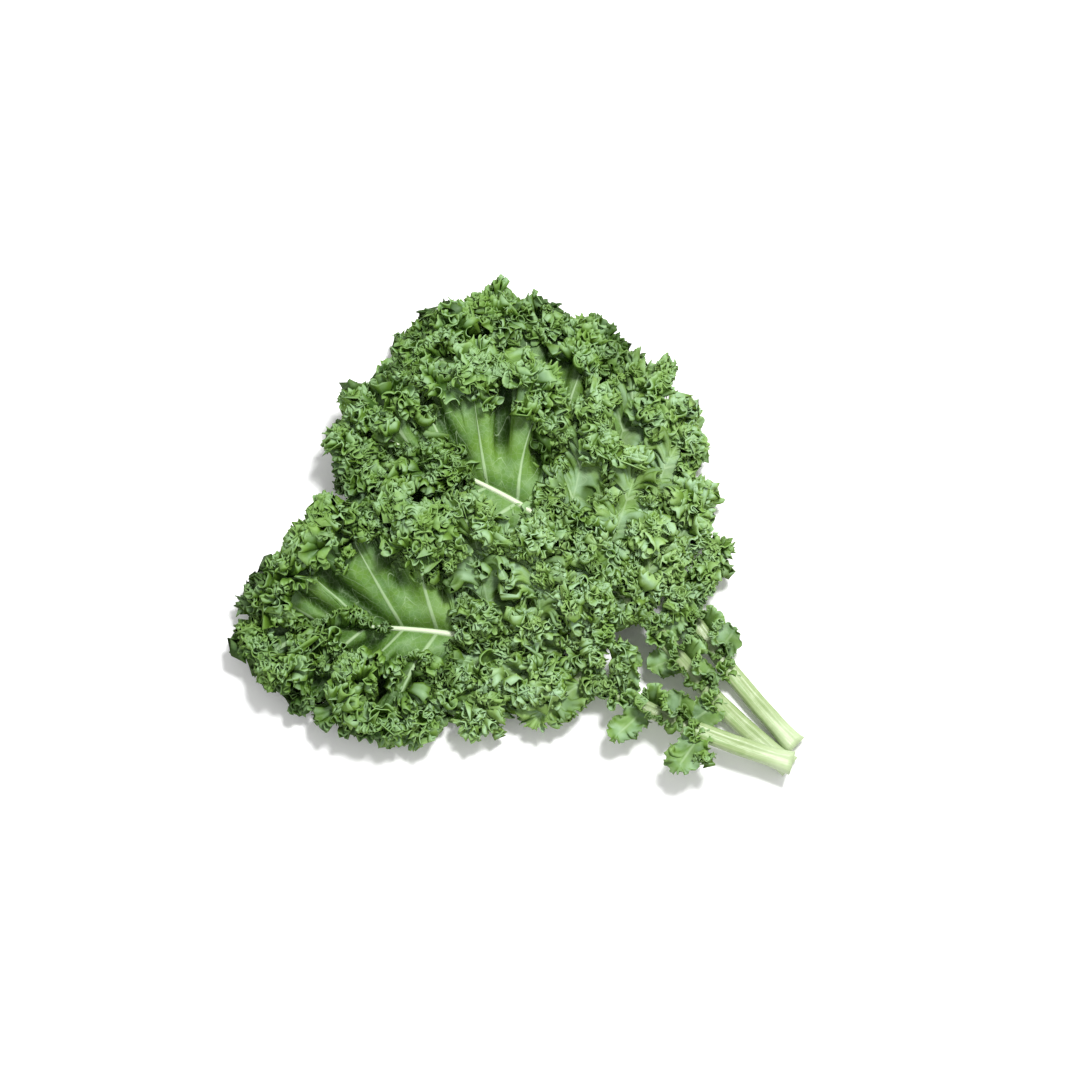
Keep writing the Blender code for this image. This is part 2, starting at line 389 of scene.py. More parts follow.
@dataclass
class Sheet:
    """A thin sheet that is held along one line and folded ever finer towards its free edge.

    Attributes:
        name: What its mesh and its pieces are named by.
        leaf: The leaf that it is part of.
        folds: Its sizes of fold, the longest first.
        curl: How far its edge turns up, in radians, or down if this is negative.
        curl_band: How wide the band along the edge is that turns.
        spacing: How far apart its columns are along the folded edge.
        seed: Where its uneven folds start.
        rows: Each row's share of the way in from the edge.
        strides: How many columns apart each row's vertices are.
        floor: How low over the table it may lie.
        ceiling: How high over the table it may reach.
        folded: Whether the line that holds it runs out along a middle vein and back.
        flipped: Whether its faces are turned over.
    """

    name: str
    leaf: Leaf
    folds: Sequence[Fold]
    curl: float
    curl_band: float
    spacing: float
    seed: int
    rows: Sequence[float]
    strides: Sequence[int]
    floor: float = 0.4
    ceiling: float = 66.5
    folded: bool = False
    flipped: bool = False

    def lay(self, places: np.ndarray) -> np.ndarray:
        """The sheet before it is folded, by column and row; each kind of sheet has its own."""
        raise NotImplementedError

    def hush(self, places: np.ndarray) -> np.ndarray:
        """How much of the folds' height each column takes."""
        return np.ones_like(places)

    def veins(self, places: np.ndarray) -> tuple[np.ndarray, np.ndarray]:
        """Where each column's side vein starts, and how far up the leaf that is."""
        raise NotImplementedError

    def hollow(self, places: np.ndarray) -> np.ndarray:
        """How deep each point lies in a hollow, from 0 to 1, by column and row, which is how much painted
        shade it takes.
        """
        raise NotImplementedError

    def grow(self, places: np.ndarray, sizes: int | None = None) -> tuple[np.ndarray, np.ndarray, np.ndarray]:
        """Folds the sheet, one size of fold after another.

        Args:
            places: Where its columns are, from 0 to 1.
            sizes: How many sizes of fold are made, or all of them.

        Returns:
            Its points, and how far each one was from the edge, and from the line that holds it, while it was
            smooth.
        """
        rng = np.random.default_rng(self.seed)
        points = self.lay(places)
        inset = np.linalg.norm(points - points[:, :1], axis=-1)
        rooted = np.linalg.norm(points - points[:, -1:], axis=-1)
        hush = self.hush(places)
        for number, fold in enumerate(self.folds[:sizes]):
            points = fold.grow(points, inset, rooted, hush, rng)
            if number == 0 and self.curl:
                points = self.curl_up(points, inset, rng, hush)
        return points, inset, rooted

    def curl_up(self, points: np.ndarray, inset: np.ndarray, rng: np.random.Generator,
                hush: np.ndarray) -> np.ndarray:
        """Turns the band along the edge up, by an angle that wanders.

        Args:
            points: The sheet's points by column and row.
            inset: How far each is in from the edge.
            rng: The source of the wandering.
            hush: A share of the turn for each column.

        Returns:
            The curled points.
        """
        run = run_along(points[:, 0])
        angle = self.curl * (0.75 + 0.55 * smooth_noise(run / 28.0, rng)) * hush
        angle = np.where(np.abs(angle) < 0.05, 0.05, angle)[:, None]
        share = np.clip(1.0 - inset / self.curl_band, 0.0, 1.0)
        _, inward, up = axes_of(points)
        up = facing_up(up)
        back = self.curl_band * (np.sin(angle * share) / angle - share)
        rise = self.curl_band * (1.0 - np.cos(angle * share)) / angle
        return points - inward * back[..., None] + up * rise[..., None]

    def columns(self) -> np.ndarray:
        """Finds where columns have to be for the folded edge to be evenly divided.

        Returns:
            Their places, from 0 to 1.
        """
        places = np.linspace(0.0, 1.0, TRACE)
        points, _, _ = self.grow(places)
        steps = np.linalg.norm(np.diff(points[:, 0], axis=0), axis=-1)
        run = np.concatenate([[0.0], np.cumsum(0.8 * steps + 0.2 * steps.mean())])
        count = int(round(run[-1] / self.spacing / 16.0)) * 16
        return np.interp(np.linspace(0.0, run[-1], max(count, 32) + 1), run, places)

    def within(self, points: np.ndarray) -> np.ndarray:
        """Eases points off the table and below the bunch's top.

        Args:
            points: Points with their true heights.

        Returns:
            The eased points.
        """
        low = points[..., 2]
        eased = self.floor + 2.0 * np.exp((low - self.floor - 2.0) / 4.0)
        height = np.where(low < self.floor + 2.0, eased, low)
        soft, knee = 9.0, self.ceiling - 9.0
        height = np.where(height > knee, knee + soft * (1.0 - np.exp((knee - height) / soft)), height)
        return np.concatenate([points[..., :2], height[..., None]], -1)

    def mesh(self, origin: np.ndarray) -> bpy.types.Object:
        """Makes the sheet's mesh, with its margin and vein coordinates.

        Args:
            origin: The middle of the bunch's footprint, in millimetres.

        Returns:
            The finished object.
        """
        places = self.columns()
        points, inset, rooted = self.grow(places)
        points[..., 2] += self.leaf.cut_end[2]
        points = self.within(points)
        points[..., 2] -= self.leaf.cut_end[2]
        world = self.leaf.place(points, origin)
        count = len(places)
        index: list[np.ndarray] = []
        picked: list[np.ndarray] = []
        total = 0
        last = len(self.rows) - 1
        for row, stride in enumerate(self.strides):
            columns = np.arange(0, count, stride)
            if row == last and self.folded:
                half = columns[: len(columns) // 2 + 1]
                ids = np.concatenate([np.arange(len(half)), np.arange(len(half) - 1)[::-1]]) + total
                columns = half
            else:
                ids = np.arange(len(columns)) + total
            picked.append(columns * len(self.rows) + row)
            index.append(ids)
            total += len(columns)
        choose = np.concatenate(picked)
        faces: list[np.ndarray] = []
        for outer, inner in zip(index, index[1:]):
            if len(outer) == len(inner):
                quad = np.stack([outer[:-1], outer[1:], inner[1:], inner[:-1]], -1)
                faces += [quad[:, [0, 1, 2]], quad[:, [0, 2, 3]]]
            else:
                a, b = inner[:-1], inner[1:]
                c, d, e = outer[:-2:2], outer[1:-1:2], outer[2::2]
                faces += [np.stack(trio, -1) for trio in ((c, d, a), (a, d, b), (b, d, e))]
        triangles = np.concatenate(faces)
        if self.flipped:
            triangles = triangles[:, ::-1]
        mesh = bpy.data.meshes.new(self.name)
        mesh.vertices.add(len(choose))
        mesh.vertices.foreach_set("co", world.reshape(-1, 3)[choose].astype(np.float32).ravel())
        mesh.loops.add(triangles.size)
        mesh.loops.foreach_set("vertex_index", triangles.astype(np.int32).ravel())
        mesh.polygons.add(len(triangles))
        mesh.polygons.foreach_set("loop_start", np.arange(0, triangles.size, 3, dtype=np.int32))
        mesh.update(calc_edges=True)
        self.measure(mesh, places, inset, rooted, choose)
        mesh.shade_smooth()
        piece = bpy.data.objects.new(self.name, mesh)
        bpy.context.scene.collection.objects.link(piece)
        return piece

    def measure(self, mesh: bpy.types.Mesh, places: np.ndarray, inset: np.ndarray, rooted: np.ndarray,
                choose: np.ndarray) -> None:
        """Stores on each vertex what its finish is laid out by.

        Args:
            mesh: The sheet's mesh.
            places: Where its columns are, from 0 to 1 of the outline.
            inset: How far each point was from the edge.
            rooted: How far each point was from the line that holds it.
            choose: The points that the mesh keeps.
        """
        rib, up_leaf = self.veins(places)
        step = np.linalg.norm(np.gradient(self.lay(places), axis=0), axis=-1)
        spread = step / np.maximum(np.abs(np.gradient(rib)), 1e-4)[:, None]
        sign = np.where(places > 0.5, 1.0, -1.0) if self.folded else np.ones_like(places)
        values = {
            "inset": inset,
            "rooted": rooted * sign[:, None],
            "rib_place": np.broadcast_to(rib[:, None], inset.shape),
            "spread": np.clip(spread, 0.2, 12.0),
            "ripeness": np.broadcast_to(up_leaf[:, None], inset.shape),
            # a painted shade mask: how much the finish darkens each point
            "hollow": np.broadcast_to(self.hollow(places), inset.shape),
        }
        for name, value in values.items():
            attribute = mesh.attributes.new(name, "FLOAT", "POINT")
            attribute.data.foreach_set("value", value.reshape(-1)[choose].astype(np.float32))


def thicken(pieces: Sequence[bpy.types.Object], name: str) -> bpy.types.Object:
    """Joins sheets into one piece and gives them their thickness, with a second material below.

    Args:
        pieces: The sheets' objects.
        name: The piece's name.

    Returns:
        The piece.
    """
    bpy.ops.object.select_all(action="DESELECT")
    for piece in pieces:
        piece.select_set(True)
    joined = pieces[0]
    bpy.context.view_layer.objects.active = joined
    if len(pieces) > 1:
        bpy.ops.object.join()
    joined.name = joined.data.name = name
    solid = joined.modifiers.new("thickness", "SOLIDIFY")
    solid.thickness = BLADE_THICKNESS * MM
    solid.offset = 0.0
    solid.material_offset = 1
    bpy.ops.object.modifier_apply(modifier=solid.name)
    return joined


def read_grid(grid: np.ndarray, rows: np.ndarray, share: np.ndarray) -> np.ndarray:
    """Reads one value a column from a grid, between its rows.

    Args:
        grid: Values by column and row.
        rows: Each row's share of the way in.
        share: Where to read each column.

    Returns:
        A value for each column.
    """
    row = np.clip(np.searchsorted(rows, share) - 1, 0, len(rows) - 2)
    part = ((share - rows[row]) / (rows[row + 1] - rows[row]))[:, None]
    column = np.arange(len(share))
    return grid[column, row] * (1.0 - part) + grid[column, row + 1] * part


SIDE_VEIN_STEP = 20.0  # what rib_place grows by from one side vein to the next
BRANCH_STEP = 12.5  # between the branches of a side vein
NET_CELL = 3.2  # the size of a cell in the fine net of veins
NORMAL, OBJECT = 1, 3  # where those outputs stand on a Texture Coordinate node
FRILL_FOLDS = (
    Fold(36.0, 6.5, 19.0, 10.0, 0.30, 0.10, 0.5, 0.8),
    Fold(17.0, 4.4, 13.0, 8.0, 0.40, 0.15, 0.6, 0.9),
    Fold(8.6, 1.9, 6.5, 4.5, 0.42, 0.7, 0.7, 0.9),
)
STRIP_FOLDS = (
    Fold(22.0, 3.6, 14.0, 6.0, 0.30, 0.10, 0.35, 0.7),
    Fold(9.0, 2.2, 8.0, 4.0, 0.36, 0.15, 0.45, 0.9),
    Fold(4.0, 0.8, 3.5, 2.5, 0.40, 0.2, 0.5, 0.9),
)
FRILL_ROWS = (0, 0.17, 0.38, 0.66, 1)
FRILL_STRIDES = (1, 2, 2, 4, 4)
FRILL_STRETCH = (30.0, 62.0)  # a ribbon's shortest and longest stretch of its row
FRILL_OVERLAP = (0.85, 1.2)  # where the next one starts, as a share of this one's stretch
FRILL_STEP = 1.5  # between the points that a ribbon's foot is laid out by
FEWEST_COLUMNS = 4  # columns of the sheet below it that a ribbon crosses at least
SHORTEST_FRILL = 9.0


@dataclass
class Frill(Sheet):
    """A ribbon of frill that stands on the blade along a line of its own.

    Attributes:
        foot: Points of the line that it stands on.
        lean: Which way it stands at each.
        height: How tall it is at each.
        rib: Where each one's side vein starts.
        depth: How deep in a hollow each one is, from 0 to 1, which is how much painted shade it takes.
        up_leaf: How far up the leaf it stands, from 0 to 1.
    """

    foot: np.ndarray = field(default_factory=lambda: np.zeros((2, 3)))
    lean: np.ndarray = field(default_factory=lambda: np.zeros((2, 3)))
    height: np.ndarray = field(default_factory=lambda: np.zeros(2))
    rib: np.ndarray = field(default_factory=lambda: np.zeros(2))
    depth: np.ndarray = field(default_factory=lambda: np.zeros(2))
    up_leaf: float = 0.5

    def lay(self, places: np.ndarray) -> np.ndarray:
        """The ribbon before it is folded.

        Args:
            places: Where its columns are, from 0 to 1.

        Returns:
            Its points by column and row.
        """
        known = np.linspace(0.0, 1.0, len(self.foot))
        foot = np.stack([np.interp(places, known, self.foot[:, axis]) for axis in range(3)], -1)
        lean = unit(np.stack([np.interp(places, known, self.lean[:, axis]) for axis in range(3)], -1))
        tall = np.interp(places, known, self.height)
        rise = (1.0 - np.array(self.rows)) * tall[:, None]
        return foot[:, None] + lean[:, None] * rise[..., None]

    def hush(self, places: np.ndarray) -> np.ndarray:
        """Lets the folds fade out at the ribbon's ends."""
        return smoothstep(0.0, 0.07, places) * smoothstep(1.0, 0.93, places)

    def veins(self, places: np.ndarray) -> tuple[np.ndarray, np.ndarray]:
        """Where each column's side vein starts, and how far up the leaf that is."""
        known = np.linspace(0.0, 1.0, len(self.foot))
        return np.interp(places, known, self.rib), np.full_like(places, self.up_leaf)

    def hollow(self, places: np.ndarray) -> np.ndarray:
        """How deep each point lies in a hollow, which is how much painted shade it takes: deeper towards the
        foot.

        Args:
            places: Where its columns are, from 0 to 1.

        Returns:
            Depths from 0 to 1, by column and row.
        """
        known = np.linspace(0.0, 1.0, len(self.depth))
        along = np.interp(places, known, self.depth)[:, None]
        return np.clip(along + 0.8 * np.array(self.rows) ** 1.5 * (1.0 - along), 0.0, 1.0)


@dataclass(frozen=True)
class Bed:
    """A folded sheet as frills are rooted in it: its points, its directions, and where its side veins start.

    How far up the leaf each column is, and each row's share of the way in, come with them.
    """

    points: np.ndarray
    normals: np.ndarray
    inward: np.ndarray
    along: np.ndarray
    rib: np.ndarray
    up_leaf: np.ndarray
    rows: np.ndarray

    def line(self, here: slice, share: np.ndarray) -> list[np.ndarray]:
        """Follows a line across the sheet.

        Args:
            here: The columns that it crosses.
            share: How far in it is at each of them.

        Returns:
            Its points, and the normal and the directions inward and along the edge at each.
        """
        grids = (self.points, self.normals, self.inward, self.along)
        return [read_grid(grid[here], self.rows, share) for grid in grids]


@dataclass(frozen=True)
class Window:
    """Where one side's blade is bare of frills: how far out from the midrib, by place along it."""

    reach: Table

    def open(self, along: np.ndarray, out: np.ndarray, hollow: np.ndarray) -> np.ndarray:
        """How much of a frill stands there, from 0 inside the window to 1 beyond it."""
        limit = read_table(self.reach, along) * (0.8 + 0.7 * hollow)
        return smoothstep(limit - 2.0, limit + 4.0, out)


@dataclass
class BladePiece(Sheet):
    """A half of the terminal blade, a side lobe or a leaflet: one sheet, with the frills that stand on it.

    Attributes:
        side: Which side of the midrib it is on.
        patch: Its outline.
        start: Where its stretch of the midrib starts.
        end: Where that ends.
        reach: How far it reaches, at places from 0 to 1 across it.
        window: Where it is bare of frills.
        ribbons: Each row of frills: how far in from the edge it is, and how tall.
        relief: How deep its valleys are.
        side_veins: Where its side veins leave the midrib.
        sway: How high its slow swells are.
        clump: How large the clumps are that its frills stand in.
        valleys: Each valley: where on the midrib it starts, how far up the leaf it bends, half its width, and
            how far out it begins, as a share of the reach.
        flare: How much a lobe widens on its way out, as a share.
    """

    side: Side = Side.LEFT
    patch: Patch = TONGUE
    start: float = 0.0
    end: float = 1.0
    reach: Callable[[np.ndarray], np.ndarray] = np.ones_like
    window: Window = Window(((0, 0), (1, 0)))
    ribbons: Table = ()
    relief: float = 0.0
    side_veins: Sequence[float] = (0.0, 1.0)
    sway: float = 1.6
    clump: float = 6.2
    valleys: Sequence[tuple[float, float, float, float]] = (
        (208.0, 0.0, 6.0, 0.10), (231.0, 0.0, 5.0, 0.18), (251.0, 16.0, 6.5, -0.10),
        (275.0, 12.0, 6.0, -0.05), (298.0, 8.0, 5.0, 0.0))
    flare: float = 0.14

    def flat(self, places: np.ndarray) -> np.ndarray:
        """The sheet's outline coordinates.

        Args:
            places: Where its columns are, from 0 to 1.

        Returns:
            Pairs (across, out) by column and row.
        """
        edge, vein = self.patch.knots(places)
        shares = np.array(self.rows)[None, :, None]
        return edge[:, None] * (1.0 - shares) + vein[:, None] * shares

    def lay(self, places: np.ndarray) -> np.ndarray:
        """The sheet before it is folded, with its slow swells and its valleys.

        Args:
            places: Where its columns are, from 0 to 1.

        Returns:
            Its points by column and row.
        """
        flat = self.flat(places)
        across, out = flat[..., 0], flat[..., 1]
        span = self.end - self.start
        if self.folded:
            along = 0.5 * (self.start + self.end) + (across - 0.5) * span * (0.86 + self.flare * out)
        else:
            along = self.start + across * span
        points = self.leaf.sheet(self.side, along, out * self.reach(across))
        x, y = points[..., 0] / 21.0, points[..., 1] / 21.0
        sway = np.sin(x + 0.8 * np.sin(y + self.seed))
        sway = sway + np.sin(1.3 * y + 0.9 * np.sin(0.8 * x) + 1.7 * self.seed)
        points[..., 2] += self.sway * sway * smoothstep(0.0, 0.3, out)
        if self.relief:
            relief = self.relief * np.minimum(1.0, self.reach(across) / self.leaf.half_width)
            points[..., 2] += relief * (0.3 * smoothstep(0.05, 0.5, out) - self.valley(along, out))
        return points

    def valley(self, along: np.ndarray, out: np.ndarray) -> np.ndarray:
        """How deep the blade sinks between two side veins, from 0 to 1.

        Args:
            along: Where each point's ray leaves the midrib.
            out: How far out each point is, as a share of the reach.

        Returns:
            The depth of each point.
        """
        depth = np.zeros_like(along)
        for at, bend, width, begin in self.valleys:
            away = (along - at - bend * np.clip(out, 0.0, 1.0)) / width
            depth = np.maximum(depth, np.exp(-away**2) * smoothstep(begin, begin + 0.35, out))
        return depth

    def clumps(self, points: np.ndarray) -> np.ndarray:
        """Where frills stand tall, in clumps.

        Args:
            points: Points of the leaf's own frame.

        Returns:
            How tall, from 0 to 1, at each.
        """
        x, y = points[..., 0] / self.clump, points[..., 1] / self.clump
        wave = np.sin(x + 1.3 * np.sin(0.7 * y + self.seed))
        wave = wave * np.sin(y + 1.1 * np.sin(0.8 * x + 2.0 * self.seed))
        return 0.5 + 0.5 * wave

    def hollow(self, places: np.ndarray) -> np.ndarray:
        """How much painted shade each point takes: in the valleys between side veins, and on the blade under
        the frills.

        Args:
            places: Where its columns are, from 0 to 1.

        Returns:
            Depths from 0 to 1, by column and row.
        """
        flat = self.flat(places)
        across, out = flat[..., 0], flat[..., 1]
        along = self.start + np.clip(across, 0.0, 1.0) * (self.end - self.start)
        reach = out * self.reach(across)
        clumps = self.clumps(self.lay(places))
        if self.folded:
            return (0.15 + 0.45 * smoothstep(0.25, 0.5, clumps)) * smoothstep(2.0, 8.0, reach)
        low = 1.0 - smoothstep(0.1, 0.6, clumps)
        frilled = self.window.open(along, reach, self.valley(along, out))
        sunk = smoothstep(0.15, 0.7, self.valley(along, out)) if self.relief else np.zeros_like(low)
        return np.maximum(0.95 * sunk, (0.35 + 0.5 * low) * frilled)

    def vein_number(self, along: np.ndarray) -> np.ndarray:
        """Counts side veins along the midrib: a whole number at each."""
        return np.interp(along, self.side_veins, np.arange(len(self.side_veins), dtype=float))

    def hush(self, places: np.ndarray) -> np.ndarray:
        """Lets the folds fade out where the edge reaches the midrib."""
        return smoothstep(-0.04, 0.1, self.patch.knots(places)[0][:, 1])

    def veins(self, places: np.ndarray) -> tuple[np.ndarray, np.ndarray]:
        """Where each column's side vein starts, and how far up the leaf that is.

        Args:
            places: Where its columns are, from 0 to 1.

        Returns:
            Distances along the midrib, SIDE_VEIN_STEP from one side vein to the next, and shares of the leaf.
        """
        _, vein = self.patch.knots(places)
        if self.folded:
            middle = 0.5 * (self.start + self.end) / self.leaf.rib_length
            return vein[:, 1] * float(self.reach(np.array(0.5))), np.full_like(places, middle)
        along = self.start + vein[:, 0] * (self.end - self.start)
        return SIDE_VEIN_STEP * self.vein_number(along), along / self.leaf.rib_length

    def frills(self) -> list[Frill]:
        """The ribbons that stand on the sheet, row behind row in from its edge.

        Returns:
            The ribbons, still to be made.
        """
        rng = np.random.default_rng(self.seed + 500)
        places = np.linspace(0.0, 1.0, TRACE)
        points, inset, _ = self.grow(places, 2)
        along, inward, normals = axes_of(points)
        bed = Bed(points, facing_up(normals), inward, along, *self.veins(places), np.array(self.rows))
        length = inset[:, -1]
        at_rib = self.start + self.patch.knots(places)[1][:, 0] * (self.end - self.start)
        hush = self.hush(places)
        made: list[Frill] = []
        for step_in, tall in self.ribbons:
            guess = np.clip(step_in / np.maximum(length, 1.0), 0.0, 1.0)
            run = run_along(read_grid(points, bed.rows, guess))
            at = rng.uniform(0.0, 10.0)
            while at < run[-1] - 12.0:
                stretch = rng.uniform(*FRILL_STRETCH)
                low, high = np.searchsorted(run, (at, min(at + stretch, run[-1] - 1.0)))
                at += stretch * rng.uniform(*FRILL_OVERLAP)
                here = slice(low, max(high, low + 2))
                middle = 0.5 * (run[low] + run[min(high, len(run) - 1)])
                drift = rng.uniform(-2.5, 2.5) + rng.uniform(-0.16, 0.16) * (run[here] - middle)
                drift = drift + 1.6 * smooth_noise(run[here] / 16.0, rng)
                share = np.clip((step_in + drift) / np.maximum(length[here], 1.0), 0.0, 1.0)
                out = (1.0 - share) * length[here] if not self.folded else np.full(share.shape, 99.0)
                sunk = self.valley(at_rib[here], 1.0 - share)
                keep = self.window.open(at_rib[here], out, sunk) * smoothstep(0.94, 0.82, share)
                keep = keep * smoothstep(0.02, 0.12, hush[here])
                made += self.ribbon(bed, here, share, keep, sunk, step_in, tall, rng)
        return made

    def ribbon(self, bed: Bed, here: slice, share: np.ndarray, keep: np.ndarray, sunk: np.ndarray,
               step_in: float, tall: float, rng: np.random.Generator) -> list[Frill]:
        """Cuts one line of frill where the blade is bare, and makes a ribbon of each stretch that is left.

        Args:
            bed: The sheet that the line stands on.
            here: The columns that it crosses.
            share: How far in it is at each of them.
            keep: How much of it stands at each, before the sheet's clumps and valleys are counted.
            sunk: How deep in a valley it is at each.
            step_in: How far its row is in from the edge.
            tall: Its height.
            rng: The source of what is uneven.

        Returns:
            The ribbons, still to be made.
        """
        line = bed.line(here, share)
        clump = self.clumps(line[0])
        if self.folded:
            keep = keep * smoothstep(0.3, 0.5, clump)
        else:
            clump = clump * (1.0 - 0.6 * sunk)
            keep = keep * (1.0 - 0.85 * sunk)
        keep = keep * (0.6 + 0.5 * smoothstep(0.05, 0.75, clump)) * smoothstep(0.08, 0.24, clump)
        standing = np.flatnonzero(keep > 0.25)
        if len(standing) < FEWEST_COLUMNS:
            return []
        made = []
        for group in np.split(standing, np.flatnonzero(np.diff(standing) > 1) + 1):
            if len(group) < FEWEST_COLUMNS:
                continue
            run = run_along(line[0][group])
            if run[-1] < SHORTEST_FRILL:
                continue
            even = np.linspace(0.0, run[-1], max(8, int(run[-1] / FRILL_STEP)))
            base, stand, within, forth = (
                np.stack([np.interp(even, run, values[group][:, axis]) for axis in range(3)], -1)
                for values in line)
            tilt = 0.4 + 0.8 * smoothstep(10.0, 30.0, step_in) + 0.9 * smooth_noise(even / 18.0, rng)
            skew = 0.35 * smooth_noise(even / 11.0, rng)
            lean = unit(stand + 0.35 * UP - within * tilt[:, None] + forth * skew[:, None])
            high = tall * (1.0 + 0.4 * smooth_noise(even / 14.0, rng)) * np.interp(even, run, keep[group])
            high *= 0.25 + 0.75 * smoothstep(0.0, 7.0, even) * smoothstep(run[-1], run[-1] - 7.0, even)
            made.append(Frill(
                f"{self.name}_ribbon", self.leaf, FRILL_FOLDS, -0.7, 4.5, self.spacing / 1.2,
                int(rng.integers(1 << 30)), FRILL_ROWS, FRILL_STRIDES, flipped=bool(rng.integers(2)),
                foot=base - 0.8 * stand, lean=lean, height=np.maximum(high, 1.5) + 0.8,
                rib=np.interp(even, run, bed.rib[here][group]) + even * 0.6,
                # painted shade on the ribbon: more where its clump is low
                depth=0.75 * (1.0 - smoothstep(0.05, 0.6, np.interp(even, run, clump[group]))),
                up_leaf=float(bed.up_leaf[here][group].mean())))
        return made

    def build(self, origin: np.ndarray) -> list[bpy.types.Object]:
        """Makes the sheet and, as a piece of their own, its frills.

        Args:
            origin: The middle of the bunch's footprint, in millimetres.

        Returns:
            The finished objects.
        """
        pieces = [thicken([self.mesh(origin)], self.name + "_sheet")]
        ribbons = [frill.mesh(origin) for frill in self.frills()]
        if ribbons:
            pieces.append(thicken(ribbons, self.name + "_frills"))
        return pieces


class Wire:
    """A shader socket. Operators on it add Math nodes to its tree."""

    def __init__(self, shader: "Shader", socket: bpy.types.NodeSocket) -> None:
        """Wraps a socket of that shader's tree."""
        self.shader = shader
        self.socket = socket

    def math(self, operation: str, *others: "Number") -> "Wire":
        """A Math node on this value and the others."""
        return self.shader.node("ShaderNodeMath", {"operation": operation}, [self, *others])[0]

    def __add__(self, other: "Number") -> "Wire":
        """This plus the other."""
        return self.math("ADD", other)

    def __sub__(self, other: "Number") -> "Wire":
        """This less the other."""
        return self.math("SUBTRACT", other)

    def __mul__(self, other: "Number") -> "Wire":
        """This times the other."""
        return self.math("MULTIPLY", other)

    def __truediv__(self, other: "Number") -> "Wire":
        """This over the other."""
        return self.math("DIVIDE", other)

    def __abs__(self) -> "Wire":
        """Its size without its sign."""
        return self.math("ABSOLUTE")

    def fade(self, full: float, none: float) -> "Wire":
        """1 at `full`, 0 at `none`, smooth between and clamped beyond."""
        settings = {"interpolation_type": "SMOOTHSTEP", "clamp": True}
        return self.shader.node("ShaderNodeMapRange", settings, [self, full, none, 1.0, 0.0])[0]


Number = Union[Wire, float]
Input = Union[Wire, float, Sequence[float]]


class Shader:
    """A material's node tree under construction."""

    def __init__(self, name: str) -> None:
        """Starts a material whose tree is empty.

        Args:
            name: The material's name.
        """
        self.material = bpy.data.materials.new(name)
        self.material.use_nodes = True
        self.tree = self.material.node_tree
        self.tree.nodes.clear()

    def node(self, kind: str, settings: dict[str, object] | None = None,
             inputs: Sequence[Input] | dict[str, Input] = ()) -> list[Wire]:
        """Adds a node.

        Args:
            kind: The node's type.
            settings: Its properties, set before its sockets are read.
            inputs: Values or wires for its sockets, in order or by name.

        Returns:
            Its enabled outputs.
        """
        made = self.tree.nodes.new(kind)
        for key, value in (settings or {}).items():
            setattr(made, key, value)
        open_sockets = [socket for socket in made.inputs if socket.enabled]
        if isinstance(inputs, dict):
            pairs = [(next(s for s in open_sockets if s.name == key), value) for key, value in inputs.items()]
        else:
            pairs = list(zip(open_sockets, inputs))
        for socket, value in pairs:
            if isinstance(value, Wire):
                self.tree.links.new(value.socket, socket)
            elif not isinstance(value, (int, float)) and socket.type == "RGBA" and len(value) == 3:
                socket.default_value = (*value, 1.0)
            else:
                socket.default_value = value
        return [Wire(self, socket) for socket in made.outputs if socket.enabled]

    def measure(self, name: str) -> Wire:
        """Reads one of the mesh's own attributes."""
        return self.node("ShaderNodeAttribute", {"attribute_name": name})[2]

    def noise(self, size_mm: float, detail: float = 3.0, roughness: float = 0.55) -> Wire:
        """Noise on Object coordinates.

        Args:
            size_mm: How long its bumps are.
            detail: How many finer sizes of bump it has.
            roughness: How strong those are.

        Returns:
            Its value, about 0.5 on the whole.
        """
        place = self.node("ShaderNodeTexCoord")[OBJECT]
        inputs = {"Vector": place, "Scale": 1.0 / (size_mm * MM), "Detail": detail, "Roughness": roughness}
        return self.node("ShaderNodeTexNoise", {}, inputs)[0]

    def mix(self, share: Number, first: Input, second: Input) -> Wire:
        """Blends two colours."""
        inputs = {"Factor": share, "A": first, "B": second}
        return self.node("ShaderNodeMix", {"data_type": "RGBA"}, inputs)[0]

    def bump(self, height: Wire, depth_mm: float, strength: float = 1.0) -> Wire:
        """A normal from a height of 0 to 1 over that depth."""
        inputs = {"Strength": strength, "Distance": depth_mm * MM, "Height": height}
        return self.node("ShaderNodeBump", {}, inputs)[0]

    def finish(self, surface: Wire) -> bpy.types.Material:
        """Ends the tree in that surface and returns its material."""
        self.node("ShaderNodeOutputMaterial", {}, {"Surface": surface})
        return self.material


